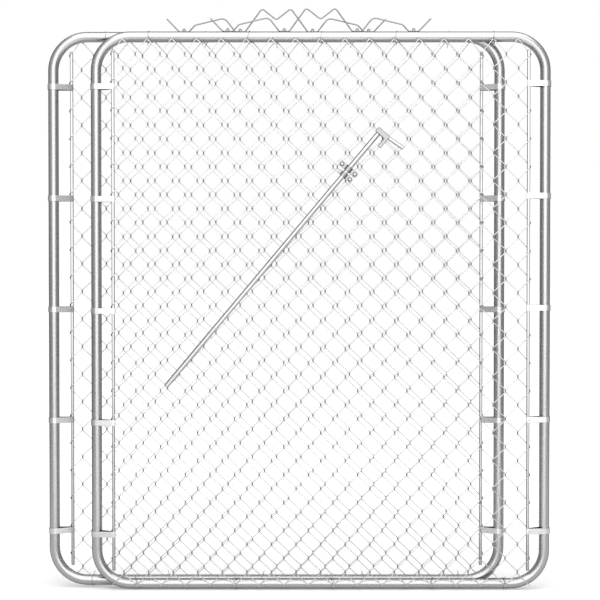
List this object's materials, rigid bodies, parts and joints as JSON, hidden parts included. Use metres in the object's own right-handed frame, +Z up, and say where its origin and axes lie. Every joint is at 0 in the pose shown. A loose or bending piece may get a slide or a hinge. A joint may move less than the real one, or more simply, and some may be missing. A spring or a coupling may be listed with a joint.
{
  "type": "double driveway gate",
  "caption": "Double driveway gate of bent galvanised tube and chain link, its two leaves nested for carriage, with wire scrolls on top and a drop rod laid across.",
  "frame": {"origin": "on the axis of the back leaf's left stile, at the height of its lower hinge, 250 mm above the leaf's lower edge", "axes": "+Z up along the stiles, +X along the rails to the right as seen from the front, +Y away from the front"},
  "size_m": [1.6378, 0.1084, 1.8916],
  "materials": {
    "tube": "hot-dip galvanised tube, satin",
    "fabric_wire": "galvanised wire, dull",
    "bar": "galvanised flat bar",
    "band": "bright zinc strap",
    "tie_wire": "aluminium tie wire",
    "ornament_wire": "galvanised wire, dull",
    "clamp": "bright zinc strap",
    "rod": "bright zinc plated rod"
  },
  "bodies": {
    "leaves": {"back_leaf_frame": "tube", "back_leaf_splice": "tube", "back_leaf_ornament": "ornament_wire", "back_leaf_ties_top": "tie_wire", "back_leaf_ties_bottom": "tie_wire", "back_leaf_left_fabric": "fabric_wire", "back_leaf_left_bar": "bar", "back_leaf_left_band_1": "band", "back_leaf_left_band_2": "band", "back_leaf_left_band_3": "band", "back_leaf_left_band_4": "band", "back_leaf_left_band_5": "band", "back_leaf_right_fabric": "fabric_wire", "back_leaf_right_bar": "bar", "back_leaf_right_band_1": "band", "back_leaf_right_band_2": "band", "back_leaf_right_band_3": "band", "back_leaf_right_band_4": "band", "back_leaf_right_band_5": "band", "front_leaf_frame": "tube", "front_leaf_splice": "tube", "front_leaf_ornament": "ornament_wire", "front_leaf_ties_top": "tie_wire", "front_leaf_ties_bottom": "tie_wire", "front_leaf_left_fabric": "fabric_wire", "front_leaf_left_bar": "bar", "front_leaf_left_band_1": "band", "front_leaf_left_band_2": "band", "front_leaf_left_band_3": "band", "front_leaf_left_band_4": "band", "front_leaf_left_band_5": "band", "front_leaf_right_fabric": "fabric_wire", "front_leaf_right_bar": "bar", "front_leaf_right_band_1": "band", "front_leaf_right_band_2": "band", "front_leaf_right_band_3": "band", "front_leaf_right_band_4": "band", "front_leaf_right_band_5": "band", "rod_clamp_lower_front": "clamp", "rod_clamp_lower_back": "clamp", "rod_clamp_upper_front": "clamp", "rod_clamp_upper_back": "clamp"},
    "drop_rod": {"drop_rod": "rod", "rod_handle": "rod", "rod_catch": "rod"}
  },
  "joints": [
    {"name": "drop_rod_slide", "type": "slide", "parent": "leaves", "child": "drop_rod", "axis": [0.6433, 0, 0.7656], "range_m": [-0.1, 0.25]}
  ]
}
